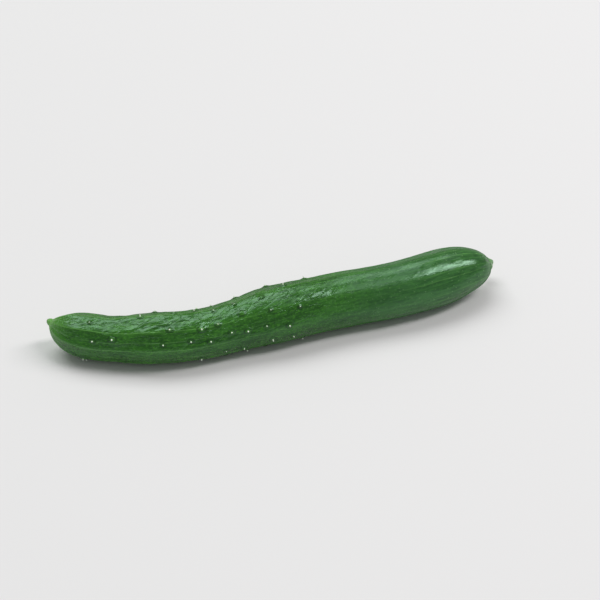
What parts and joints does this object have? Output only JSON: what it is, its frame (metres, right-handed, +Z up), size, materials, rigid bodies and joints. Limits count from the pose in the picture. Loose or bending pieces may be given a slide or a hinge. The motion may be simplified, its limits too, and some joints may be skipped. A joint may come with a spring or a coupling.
{
  "type": "japanese cucumber",
  "caption": "Slender, gently curved cucumber lying on its side, with faint ridges, small prickly warts, a blossom-end knob and a short cut stalk.",
  "frame": {"origin": "bottom centre of the cucumber's bounding box as it lies on its side", "axes": "+X along the fruit from the blossom end to the stalk, +Y towards the inner side of the bend where the stalk turns, +Z up"},
  "size_m": [0.2164, 0.0436, 0.0275],
  "materials": {
    "cucumber_skin": "waxy dark green skin, semi-gloss, paler lengthwise lines at the blossom end"
  },
  "bodies": {
    "root": {"cucumber": "cucumber_skin"}
  },
  "joints": []
}
